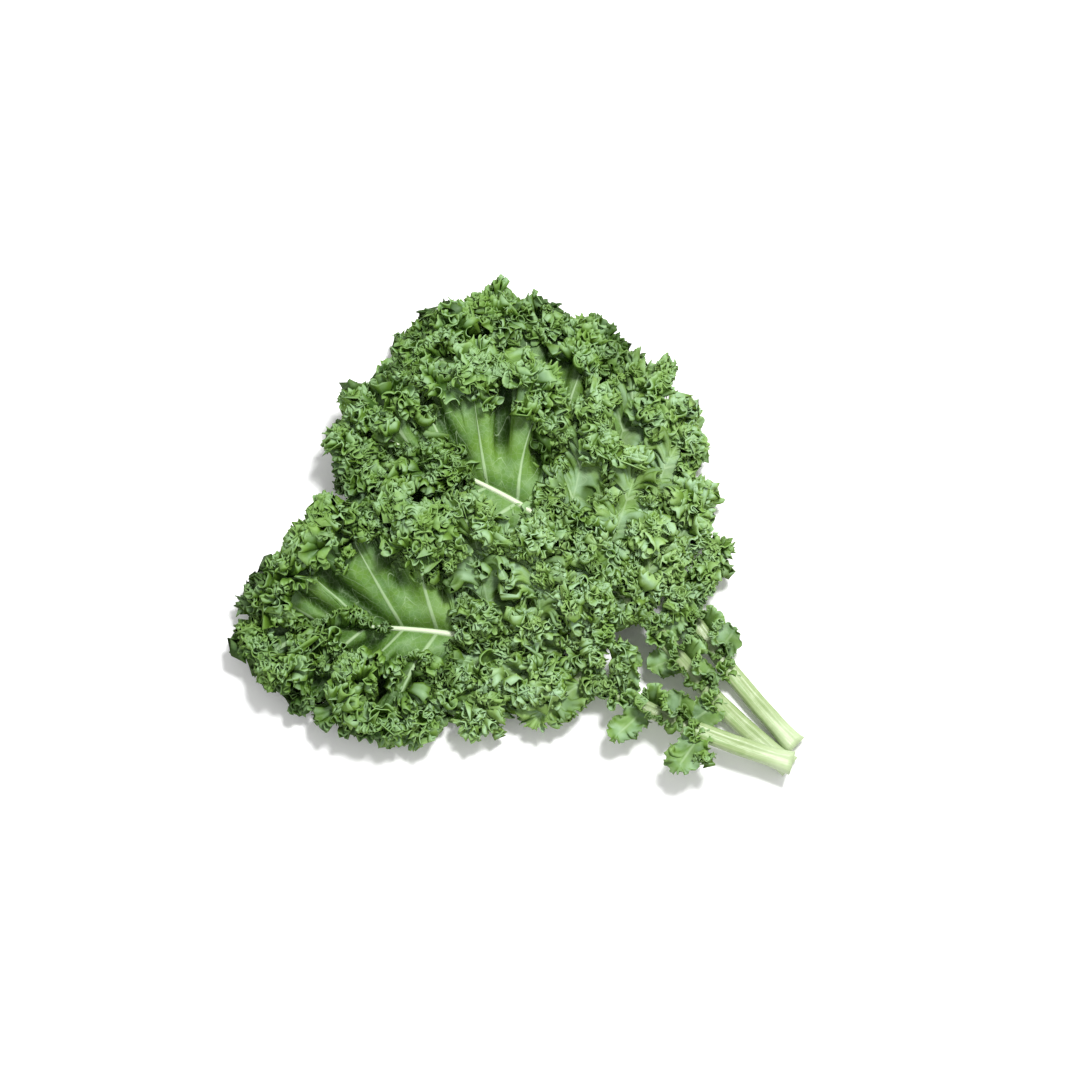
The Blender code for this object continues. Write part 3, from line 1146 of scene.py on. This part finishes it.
@dataclass(frozen=True)
class BladeFinish:
    """Curly kale's blade: dark waxy green, paler along its veins, and fresher green out on its frills, with
    painted shade in its hollows and a painted sheen where it faces up.

    Attributes:
        name: The material's name.
        deep: The painted shade colour that hollows and the blade under the frills are darkened towards.
        olive: The painted shade colour low on the leaf.
        leafy: Its colour on the whole.
        frill: Its colour on frills and in patches.
        young: Its fresher colour low on the leaf.
        bloom: The wax's pale bluish grey, laid only where it faces up, so it is painted top light and sheen
            too.
        vein: The veins' colour.
        rim: The colour of its very edge.
        lit: The colour of light that comes through it.
        roughness: How rough it is, on the whole.
        glow: How much of it lets light through.
        vein_strength: How strongly its veins show.
    """

    name: str
    deep: Colour
    olive: Colour
    leafy: Colour
    frill: Colour
    young: Colour
    bloom: Colour
    vein: Colour
    rim: Colour
    lit: Colour
    roughness: float
    glow: float
    vein_strength: float

    def material(self) -> bpy.types.Material:
        """Builds the finish.

        Returns:
            Its material.
        """
        shader = Shader(self.name)
        # the hollow attribute is a painted shade mask
        inset, hollow = shader.measure("inset"), shader.measure("hollow")
        ripeness = shader.measure("ripeness")
        patches = shader.noise(30.0, 2.0)
        speckle = shader.noise(3.0, 3.0)
        colour = shader.mix(patches.fade(0.75, 0.3) * 0.6, self.leafy, self.frill)
        colour = shader.mix(speckle.fade(0.7, 0.35) * 0.25, colour, self.frill)
        colour = shader.mix(inset.fade(0.0, 8.0) * 0.55, colour, self.frill)
        tender = ripeness.fade(0.4, 0.7) * (ripeness.fade(0.42, 0.24) * 0.65 + 0.35)
        fresh = shader.mix(shader.noise(16.0, 2.0).fade(0.6, 0.4), self.young, self.frill)
        colour = shader.mix(tender * 0.85, colour, fresh)
        # Painted top light and sheen: faces that point up are paled towards the wax's bluish grey, most where
        # they face straight up.
        facing = shader.node("ShaderNodeSeparateXYZ", {}, [shader.node("ShaderNodeTexCoord")[NORMAL]])[2]
        bloom = facing.fade(0.95, 0.35) * (shader.noise(11.0, 2.0).fade(0.62, 0.36) * 0.7 + 0.2)
        bloom = bloom * (inset.fade(14.0, 40.0) * 0.65 + 0.35)
        colour = shader.mix(bloom * (tender * 0.3 + 0.65), colour, self.bloom)
        # Painted shade: hollows, ribbon feet and the blade under the frills are darkened towards a dark
        # green, olive low on the leaf.
        colour = shader.mix(hollow * 0.92, colour, shader.mix(tender, self.deep, self.olive))
        veins = self.veins(shader, inset)
        colour = shader.mix(veins * self.vein_strength, colour, self.vein)
        edge = inset.fade(0.2, 1.6) * shader.noise(5.0, 2.0).fade(0.62, 0.38)
        colour = shader.mix(edge * 0.22, colour, self.rim)
        pucker = shader.noise(4.5, 2.0)
        height = veins * 0.55 + pucker * 0.5 + shader.noise(0.9, 1.0) * 0.12
        normal = shader.bump(height, 0.8, 0.55)
        roughness = shader.noise(8.0, 2.0) * 0.2 + (self.roughness - 0.1)
        inputs = {"Base Color": colour, "Roughness": roughness, "Normal": normal, "Specular IOR Level": 0.24}
        leaf = shader.node("ShaderNodeBsdfPrincipled", {}, inputs)[0]
        through = shader.node("ShaderNodeBsdfTranslucent", {}, {"Color": self.lit})[0]
        return shader.finish(shader.node("ShaderNodeMixShader", {}, [self.glow, leaf, through])[0])

    def veins(self, shader: Shader, inset: Wire) -> Wire:
        """The veins' pattern: side veins, their branches, a fine net, and a lobe's own middle vein.

        Args:
            shader: The material that it is added to.
            inset: How far in from the edge each point is.

        Returns:
            1 on a vein, and 0 between them.
        """
        rooted, rib_place = shader.measure("rooted"), shader.measure("rib_place")
        spread = shader.measure("spread")
        outward = abs(rooted)
        wander = (shader.noise(14.0, 2.0) - 0.5) * 6.0
        fine = (shader.noise(5.0, 2.0) - 0.5) * 3.0
        nearest = abs((rib_place / SIDE_VEIN_STEP + 0.5).math("FRACT") - 0.5)
        from_side_vein = nearest * SIDE_VEIN_STEP * spread + fine * 0.15
        taper = outward.fade(0.0, 55.0) * 0.75 + 0.25
        side_vein = (from_side_vein / taper).fade(0.5, 1.7)
        branch = ((outward - from_side_vein * 1.15 + wander) / BRANCH_STEP).math("FRACT") - 0.5
        branch_vein = abs(branch * BRANCH_STEP).fade(0.1, 0.6) * from_side_vein.fade(14.0, 4.0)
        voronoi = {"feature": "DISTANCE_TO_EDGE"}
        place = {"Vector": shader.node("ShaderNodeTexCoord")[OBJECT], "Scale": 1.0 / (NET_CELL * MM)}
        net = shader.node("ShaderNodeTexVoronoi", voronoi, place)[0].fade(0.0, 0.09)
        middle_vein = outward.fade(0.3, 1.2)
        veins = (side_vein * 0.95).math("MAXIMUM", branch_vein * 0.65).math("MAXIMUM", net * 0.2)
        return (veins * inset.fade(22.0, 5.0)).math("MAXIMUM", middle_vein * inset.fade(8.0, 2.0) * 0.4)


@dataclass(frozen=True)
class StemFinish:
    """A kale stem: pale green, moist and finely ribbed along its length, whitening into the midrib.

    Attributes:
        name: The material's name.
        pale: Its colour on the whole.
        green: Its colour in streaks.
        midrib: Its colour as the midrib.
        cut: Its colour on the cut face and in blotches.
    """

    name: str = "stem_skin"
    pale: Colour = (0.30, 0.375, 0.18)
    green: Colour = (0.17, 0.285, 0.08)
    midrib: Colour = (0.58, 0.68, 0.46)
    cut: Colour = (0.50, 0.58, 0.38)

    def material(self) -> bpy.types.Material:
        """Builds the finish.

        Returns:
            Its material.
        """
        shader = Shader(self.name)
        along = shader.measure("along")
        around = shader.measure("around")
        face = shader.measure("cut_face")
        streak = shader.node("ShaderNodeTexNoise", {}, {
            "Vector": shader.node("ShaderNodeCombineXYZ", {}, [around * 9.0, along * 0.03, 0.0])[0],
            "Scale": 1.0, "Detail": 3.0, "Roughness": 0.6})[0]
        colour = shader.mix(streak.fade(0.66, 0.36) * 0.8, self.pale, self.green)
        colour = shader.mix(along.fade(190.0, 120.0), colour, self.midrib)
        colour = shader.mix(along.fade(3.0, 32.0) * 0.4, colour, self.midrib)
        blotch = shader.noise(6.0, 2.0)
        colour = shader.mix(blotch.fade(0.7, 0.45) * 0.2, colour, self.cut)
        colour = shader.mix(face, colour, self.cut)
        normal = shader.bump(streak + shader.noise(1.2, 2.0) * 0.3, 0.5, 0.4)
        inputs = {"Base Color": colour, "Roughness": shader.noise(5.0, 2.0) * 0.2 + 0.26, "Normal": normal,
                  "Specular IOR Level": 0.45}
        return shader.finish(shader.node("ShaderNodeBsdfPrincipled", {}, inputs)[0])


@dataclass(frozen=True)
class Stem:
    """A leaf's stalk, grooved along its upper side, running on as the midrib.

    Attributes:
        leaf: The leaf that it is part of.
        rings: How many rings it is cut into.
        sides: How many corners each ring has.
        heel: How far it flares at the cut end.
    """

    leaf: Leaf
    rings: int = 170
    sides: int = 36
    heel: float = 0.9

    def build(self, origin: np.ndarray) -> bpy.types.Object:
        """Makes the stalk from a cylinder that is cut into rings and bent along the midrib.

        Args:
            origin: The middle of the bunch's footprint, in millimetres.

        Returns:
            The finished object.
        """
        bpy.ops.object.select_all(action="DESELECT")
        bpy.ops.mesh.primitive_cylinder_add(vertices=self.sides, radius=1.0, depth=1.0, location=(0, 0, 0.5))
        stem = bpy.context.view_layer.objects.active
        stem.name = stem.data.name = self.leaf.name + "_stalk"
        bpy.ops.object.transform_apply(location=True)
        bpy.ops.object.mode_set(mode="EDIT")
        bpy.ops.mesh.select_mode(type="FACE")
        bpy.ops.mesh.select_all(action="DESELECT")
        bpy.ops.object.mode_set(mode="OBJECT")
        for face in stem.data.polygons:
            face.select = abs(face.normal.z) > 0.9
        bpy.ops.object.mode_set(mode="EDIT")
        bpy.ops.mesh.inset(thickness=0.12)
        bpy.ops.mesh.inset(thickness=0.3)
        bpy.ops.mesh.poke()
        bpy.ops.mesh.select_mode(type="EDGE")
        bpy.ops.mesh.select_all(action="DESELECT")
        bpy.ops.object.mode_set(mode="OBJECT")
        for edge in stem.data.edges:
            low, high = (stem.data.vertices[i].co.z for i in edge.vertices)
            edge.select = abs(high - low) > 0.5
        bpy.ops.object.mode_set(mode="EDIT")
        bpy.ops.mesh.subdivide(number_cuts=self.rings)
        bpy.ops.object.mode_set(mode="OBJECT")
        self.bend(stem, origin)
        stem.data.shade_smooth()
        return stem

    def bend(self, stem: bpy.types.Object, origin: np.ndarray) -> None:
        """Lays the cylinder along the midrib with the stalk's own cross-section.

        Args:
            stem: The cylinder, one unit long and of radius one.
            origin: The middle of the bunch's footprint, in millimetres.
        """
        mesh = stem.data
        raw = np.empty(len(mesh.vertices) * 3, np.float32)
        mesh.vertices.foreach_get("co", raw)
        local = raw.reshape(-1, 3).astype(float)
        share = np.hypot(local[:, 0], local[:, 1])
        around = np.arctan2(local[:, 1], local[:, 0])
        along = local[:, 2] * self.leaf.rib_length
        radius = self.leaf.radius(along)
        forward = self.leaf.forward(along)
        sideways = np.stack([-forward[:, 1], forward[:, 0], np.zeros_like(along)], -1)
        stalk = 1.0 - smoothstep(90, 220, along)
        groove = np.exp(-(((around - 0.5 * np.pi) / 0.5) ** 2)) * 0.24 * stalk
        ribs = 0.022 * np.cos(9.0 * around + 0.4) + 0.014 * np.cos(17.0 * around + along * 0.01)
        flare = self.heel * np.exp(-along / 7.0) * (0.6 + 0.4 * np.cos(2.0 * around))
        wander = 0.03 * np.sin(along / 9.0 + 2.0 * np.cos(around)) + 0.02 * np.sin(along / 4.1 + 3.0 * around)
        shape = share * (radius * (1.0 - groove + ribs * stalk + wander * stalk) + flare)
        wide = np.cos(around) * shape * (1.03 - 0.3 * smoothstep(150, 230, along))
        high = np.sin(around) * shape * (0.93 * stalk + 0.75 * (1.0 - stalk))
        points = self.leaf.rib(along) + sideways * wide[:, None]
        points[:, 2] += high - 0.02 * radius
        points[:, 2] = np.maximum(points[:, 2], 0.05 - self.leaf.cut_end[2])
        cut = (along < 0.01) & (share < 0.9)
        points[cut, 0] += 0.5 * (1.0 - share[cut])
        placed = self.leaf.place(points, origin)
        mesh.vertices.foreach_set("co", placed.astype(np.float32).ravel())
        mesh.update()
        face = (cut | (share < 0.95)).astype(float)
        for name, value in (("along", along), ("around", around), ("cut_face", face)):
            attribute = mesh.attributes.new(name, "FLOAT", "POINT")
            attribute.data.foreach_set("value", value.astype(np.float32))


LEAVES = (
    Leaf("back", (168.0, -133.2, 0.0), 134.2, 0.0,
         left=Lie(6.0, -10.0, (64, 44, 14), (11,), width=0.88),
         right=Lie(26.0, -32.0, (92, 82, 55), (48, 15), width=1.1)),
    Leaf("middle", (164.4, -145.5, 0.0), 141.3, 16.8,
         left=Lie(-4.0, -22.0, (68, 50, 26), (16, 18), width=0.94),
         right=Lie(12.0, -2.0, (80, 72, 52), (32, 9)), tip_turn=5.0),
    Leaf("front", (164.5, -145.0, 12.2), 164.3, -12.2,
         left=Lie(20.0, -34.0, (76, 58, 46), (26, 27), width=0.94),
         right=Lie(38.0, 0.0, (84, 74, 52), (28, 14))),
)


BLADE_ROWS = (0, 0.02, 0.05, 0.09, 0.14, 0.2, 0.27, 0.35, 0.45, 0.57, 0.7, 0.84, 1)
BLADE_STRIDES = (1, 1, 1, 2, 2, 2, 2, 4, 4, 4, 4, 4, 4)
TONGUE_ROWS = (0, 0.06, 0.13, 0.22, 0.33, 0.47, 0.64, 0.82, 1)
TONGUE_STRIDES = (1, 1, 2, 2, 2, 4, 4, 4, 4)


@dataclass
class Growth:
    """Lays out a leaf's blade pieces: how long each stretch of midrib is, and what folds each kind has.

    Attributes:
        leaf: The leaf.
        seed: Where its uneven folds start.
        density: How many columns its sheets have, as a share of the full number.
        blade_start: Where on the midrib the terminal blade starts.
        left_reach: How far the terminal blade's left half reaches, by place along the midrib.
        right_reach: How far its right half does.
        lobe_spans: Each lobe's stretch of the midrib, from the terminal blade down.
        left_leaflets: Each left leaflet's stretch of the stalk, from the lobes down.
        right_leaflets: Each right leaflet's.
        left_window: Where the left half is bare of frills.
        right_window: Where the right half is.
        side_veins: Where the terminal blade's side veins leave the midrib.
        gap: How much of its stretch each piece leaves free at an end.
        rounding: How much less a lobe reaches at its sides than in its middle, as a share.
        margin: How much room a smooth blade or lobe leaves for its frills.
        column_step: How far apart columns are along an edge.
    """

    leaf: Leaf
    seed: int
    density: float = 1.0
    blade_start: float = 203.0
    left_reach: Table = ((203, 84), (232, 84), (258, 74), (286, 59), (306, 42), (326, 16))
    right_reach: Table = ((203, 85), (232, 87), (258, 74), (286, 56), (306, 38), (326, 17))
    lobe_spans: Table = ((172, 203), (144, 172), (118, 144))
    left_leaflets: Table = ((82, 101), (46, 66))
    right_leaflets: Table = ((96, 115), (62, 82))
    left_window: Window = Window(((203, 0), (208, 10), (222, 20), (246, 18), (258, 6), (266, 0)))
    right_window: Window = Window(
        ((203, 18), (212, 38), (224, 50), (248, 50), (262, 42), (278, 28), (290, 10), (300, 0)))
    side_veins: Sequence[float] = (203, 222, 242, 264, 290, 326)
    gap: float = 1.1
    rounding: float = 0.26
    margin: float = 4.0
    column_step: float = 1.5

    def tongue_reach(self, reach: float) -> Callable[[np.ndarray], np.ndarray]:
        """Rounds a lobe's end off.

        Args:
            reach: How far its middle reaches.

        Returns:
            A function that gives its reach at places across it.
        """
        full = reach - self.margin if reach > BIG_REACH else reach

        def reach_at(across: np.ndarray) -> np.ndarray:
            """The reach at places across the lobe, from 0 to 1."""
            return full * (1.0 - self.rounding * np.abs(2.0 * np.clip(across, 0, 1) - 1.0) ** 2.5)

        return reach_at

    def half_blade(self, side: Side) -> BladePiece:
        """Half of the terminal blade.

        Args:
            side: Which half.

        Returns:
            The piece, still to be built.
        """
        end = self.leaf.rib_length - self.margin
        start = self.blade_start + self.gap

        def reach(across: np.ndarray) -> np.ndarray:
            """Reads off the half's reach, notched between one side vein and the next.

            Args:
                across: Places along the half, from 0 to 1.

            Returns:
                How far out the blade goes at each.
            """
            reaches = self.left_reach if side is Side.LEFT else self.right_reach
            at = start + across * (end - start)
            notch = 1.0 - 0.09 * np.sin(np.pi * (at - 241.0) / 22.0) ** 2 * smoothstep(206, 216, at)
            return self.leaf.lie(side).width * read_table(reaches, at) * notch - self.margin

        calm = 1.0 if side is Side.LEFT else 1.6  # the right half's open window is kept flatter
        folds = (
            Fold(42.0, 8.5, 38.0, 24.0 * calm, 0.30, 0.10, 0.35, 0.7),
            Fold(18.0, 5.2, 15.0, 22.0 * calm, 0.42, 0.15, 0.35, 0.8),
            Fold(7.4, 2.2, 7.5, 12.0 * calm, 0.45, 0.5, 0.5, 0.8),
        )
        name = f"{self.leaf.name}_blade_{side.word}"
        ribbons = tuple((float(inset), 13.0) for inset in range(11, 78, 18))
        return BladePiece(
            name, self.leaf, folds, curl=1.1, curl_band=15.0, spacing=self.column_step / self.density,
            seed=self.seed + (1 if side is Side.LEFT else 2), rows=BLADE_ROWS, strides=BLADE_STRIDES,
            flipped=side is Side.LEFT, side=side, patch=HALF_BLADE, start=start, end=end, reach=reach,
            ribbons=ribbons, relief=9.0, side_veins=self.side_veins,
            window=self.left_window if side is Side.LEFT else self.right_window)

    def tongue(self, side: Side, name: str, span: tuple[float, float], reach: float, seed: int) -> BladePiece:
        """A side lobe or leaflet.

        Args:
            side: Which side of the midrib.
            name: The piece's name on its leaf.
            span: Its stretch of the midrib.
            reach: How far it reaches.
            seed: Where its uneven folds start.

        Returns:
            The piece, still to be built.
        """
        size = min(1.0, reach / 70.0) ** 0.5
        loud = size * (0.55 + 0.45 * float(smoothstep(20.0, 60.0, reach)))
        folds = (
            Fold(34.0 * size, 7.0 * loud, 26.0 * size, 14.0 * size, 0.30, 0.10, 0.35, 0.7),
            Fold(15.0 * size, 3.8 * loud, 12.0 * size, 8.0 * size, 0.42, 0.15, 0.35, 0.8),
            Fold(7.4, 1.9 * loud, 6.5, 5.0, 0.45, 0.9, 0.5, 0.8),
        )
        name = f"{self.leaf.name}_{name}"
        ribbons: Table = ((6.0, 7.0),) if reach > SMALL_REACH else ()
        if reach > BIG_REACH:
            ribbons = ((9.0, 9.0), (24.0, 9.0))
        return BladePiece(
            name, self.leaf, folds, curl=0.6, curl_band=10.0 * size, spacing=self.column_step / self.density,
            seed=seed, rows=TONGUE_ROWS, strides=TONGUE_STRIDES, flipped=side is Side.LEFT, folded=True,
            side=side, patch=TONGUE, start=span[0] + self.gap, end=span[1] - self.gap,
            reach=self.tongue_reach(reach), ribbons=ribbons, flare=0.3 if reach > BIG_REACH else 0.14)

    def rib_frill(self, side: Side, number: int, span: tuple[float, float], tall: float, tilt: float,
                  folds: Sequence[Fold]) -> Frill:
        """A ribbon that stands along the midrib or the stalk.

        Args:
            side: Which side of the midrib.
            number: Which of that side's ribbons.
            span: Its stretch of the midrib.
            tall: Its height.
            tilt: How far it leans outwards, or over the midrib if it is negative.
            folds: Its folds.

        Returns:
            The ribbon, still to be made.
        """
        rng = np.random.default_rng(self.seed + 700 + 10 * number + int(side.value))
        along = np.arange(span[0], span[1], 1.5)
        foot = self.leaf.sheet(side, along, np.full_like(along, 1.0))
        outward = unit(self.leaf.sheet(side, along, np.full_like(along, 6.0)) - foot)
        lean = unit(UP + outward * (tilt + 0.6 * smooth_noise(along / 13.0, rng))[:, None])
        ends = smoothstep(span[0], span[0] + 10.0, along) * smoothstep(span[1], span[1] - 8.0, along)
        height = tall * (1.0 + 0.3 * smooth_noise(along / 12.0, rng)) * (0.25 + 0.75 * ends)
        return Frill(
            f"{self.leaf.name}_rib_ribbon", self.leaf, folds, curl=-0.6, curl_band=4.0,
            spacing=1.25 / self.density, seed=int(rng.integers(1 << 30)), rows=FRILL_ROWS,
            strides=FRILL_STRIDES, flipped=bool(rng.integers(2)), foot=foot, lean=lean, height=height,
            # painted shade on the ribbon, wandering along the midrib
            rib=along, depth=0.3 + 0.3 * smooth_noise(along / 14.0, rng),
            up_leaf=float(along.mean() / self.leaf.rib_length))

    def rib_frills(self) -> list[Frill]:
        """The ribbons along both sides of the midrib, except where it is bare, and of the stalk's upper part.

        Returns:
            The ribbons, still to be made.
        """
        kinds = (((112.0, 212.0), 11.0, -0.5, FRILL_FOLDS), ((249.0, 318.0), 10.0, -0.5, FRILL_FOLDS),
                 ((52.0, 120.0), 11.0, -0.1, STRIP_FOLDS))
        tip = 1  # the second kind, which stands on the left side only
        return [self.rib_frill(side, number, *kind) for side in Side for number, kind in enumerate(kinds)
                if side is Side.LEFT or number != tip]

    def pieces(self) -> list[BladePiece]:
        """Every blade piece of the leaf, from the first side's half blade to the second side's last leaflet.

        Returns:
            The pieces, still to be built.
        """
        made = []
        for side in Side:
            lie = self.leaf.lie(side)
            made.append(self.half_blade(side))
            for number, (span, reach) in enumerate(zip(self.lobe_spans, lie.lobes), 1):
                seed = self.seed + 10 * number + int(side.value)
                made.append(self.tongue(side, f"lobe_{side.word}_{number}", span, reach, seed))
            spans = self.left_leaflets if side is Side.LEFT else self.right_leaflets
            for number, (span, reach) in enumerate(zip(spans, lie.leaflets), 1):
                seed = self.seed + 50 + 10 * number + int(side.value)
                made.append(self.tongue(side, f"leaflet_{side.word}_{number}", span, reach, seed))
        return made


@dataclass(frozen=True)
class Studio:
    """A white table, soft light from high on the right, and a camera that looks almost straight down.

    Attributes:
        elevation: How many degrees over the table the camera stands.
        distance: How far it is from what it looks at, in metres.
        lens: Its lens in millimetres.
        aim: The point that it looks at, in metres.
    """

    elevation: float = 78.0
    distance: float = 1.8
    lens: float = 100.0
    aim: tuple[float, float, float] = (0.0135, -0.0025, 0.0)

    def build(self) -> None:
        """Makes the table, the lights and the camera."""
        bpy.ops.object.select_all(action="DESELECT")
        bpy.ops.mesh.primitive_plane_add(size=6.0, location=(0, 0, 0))
        table = bpy.context.view_layer.objects.active
        table.name = "table"
        shader = Shader("white_table")
        grain = shader.noise(60.0, 2.0)
        colour = shader.mix(grain, (0.93, 0.93, 0.93), (0.95, 0.95, 0.95))
        surface = shader.node("ShaderNodeBsdfPrincipled", {}, {"Base Color": colour, "Roughness": 0.9})[0]
        table.data.materials.append(shader.finish(surface))
        world = bpy.data.worlds.new("studio")
        world.use_nodes = True
        world.node_tree.nodes["Background"].inputs["Color"].default_value = (1.0, 1.0, 1.0, 1.0)
        world.node_tree.nodes["Background"].inputs["Strength"].default_value = 0.78
        bpy.context.scene.world = world
        self.lamp("key", (0.36, 0.42, 1.6), 0.3, 36.0)
        camera = bpy.data.cameras.new("camera")
        camera.lens = self.lens
        seen = bpy.data.objects.new("camera", camera)
        bpy.context.scene.collection.objects.link(seen)
        tilt = math.radians(self.elevation)
        aim = Vector(self.aim)
        seen.location = aim + self.distance * Vector((0.0, -math.cos(tilt), math.sin(tilt)))
        seen.rotation_euler = (aim - seen.location).to_track_quat("-Z", "Y").to_euler()
        bpy.context.scene.camera = seen
        bpy.context.scene.view_settings.view_transform = "Standard"

    def lamp(self, name: str, place: tuple[float, float, float], size: float, power: float) -> None:
        """Makes one soft lamp that faces the bunch.

        Args:
            name: Its name.
            place: Where it is.
            size: Its width.
            power: Its power in watts.
        """
        light = bpy.data.lights.new(name, "AREA")
        light.size = size
        light.energy = power
        lamp = bpy.data.objects.new(name, light)
        bpy.context.scene.collection.objects.link(lamp)
        lamp.location = place
        lamp.rotation_euler = (-Vector(place)).to_track_quat("-Z", "Y").to_euler()


def find_origin() -> np.ndarray:
    """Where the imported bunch's origin is, in the millimetres that leaves are placed by.

    Returns:
        The origin, from the back leaf's box: its cut end is what reaches farthest to +X and to -Y.
    """
    leaf = next(leaf for leaf in LEAVES if leaf.name == "back")
    along = np.array([0.0, 1.0])
    centre, ahead = leaf.place(leaf.rib(along), np.zeros(3)) / MM
    forward = unit(ahead - centre)
    radius = float(leaf.radius(along)[0])
    low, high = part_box("back_leaf")
    farthest_x = centre[0] + radius * abs(forward[1])
    farthest_y = centre[1] - radius * abs(forward[0])
    return np.array([farthest_x - high[0] / MM, farthest_y - low[1] / MM, 0.0])


def dress(piece: bpy.types.Object, leaf: Leaf, finishes: Sequence[bpy.types.Material]) -> None:
    """Gives a piece its finish and its place in the frame.

    Args:
        piece: The finished object.
        leaf: The leaf that it is part of.
        finishes: Its materials, the upper side's first.
    """
    piece.data.materials.clear()
    for finish in finishes:
        piece.data.materials.append(finish)
    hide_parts(f"{leaf.name}_leaf")
    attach(piece, "root")
    LOG.info("%s: %d faces", piece.name, len(piece.data.polygons))


def main() -> None:
    """Builds the bunch, leaf by leaf, and the studio around it."""
    logging.basicConfig(level=logging.INFO, format="%(message)s")
    origin = find_origin()
    LOG.info("origin %s", np.round(origin, 3))
    # Both finishes darken with painted shade in hollows and pale with a painted sheen where they face up.
    upper = BladeFinish(
        "blade_upper", deep=(0.018, 0.056, 0.002), olive=(0.085, 0.165, 0.008), leafy=(0.080, 0.195, 0.020),
        frill=(0.190, 0.340, 0.040), young=(0.34, 0.52, 0.15), bloom=(0.37, 0.56, 0.36),
        vein=(0.42, 0.58, 0.32), rim=(0.30, 0.48, 0.17), lit=(0.21, 0.39, 0.024),
        roughness=0.5, glow=0.19, vein_strength=0.85)
    under = BladeFinish(
        "blade_under", deep=(0.055, 0.13, 0.035), olive=(0.13, 0.24, 0.05), leafy=(0.15, 0.275, 0.13),
        frill=(0.22, 0.37, 0.17), young=(0.36, 0.53, 0.22), bloom=(0.40, 0.55, 0.36),
        vein=(0.48, 0.63, 0.40), rim=(0.36, 0.54, 0.26), lit=(0.25, 0.44, 0.075),
        roughness=0.6, glow=0.15, vein_strength=0.8)
    upper_skin, under_skin = upper.material(), under.material()
    stem_skin = StemFinish().material()
    density = 1.0
    for leaf in LEAVES:
        dress(Stem(leaf).build(origin), leaf, [stem_skin])
        growth = Growth(leaf, SEED, density)
        for sheet in growth.pieces():
            for piece in sheet.build(origin):
                dress(piece, leaf, [upper_skin, under_skin])
        ribbons = [frill.mesh(origin) for frill in growth.rib_frills()]
        dress(thicken(ribbons, f"{leaf.name}_rib_frills"), leaf, [upper_skin, under_skin])
    Studio().build()


if __name__ == "__main__":
    main()
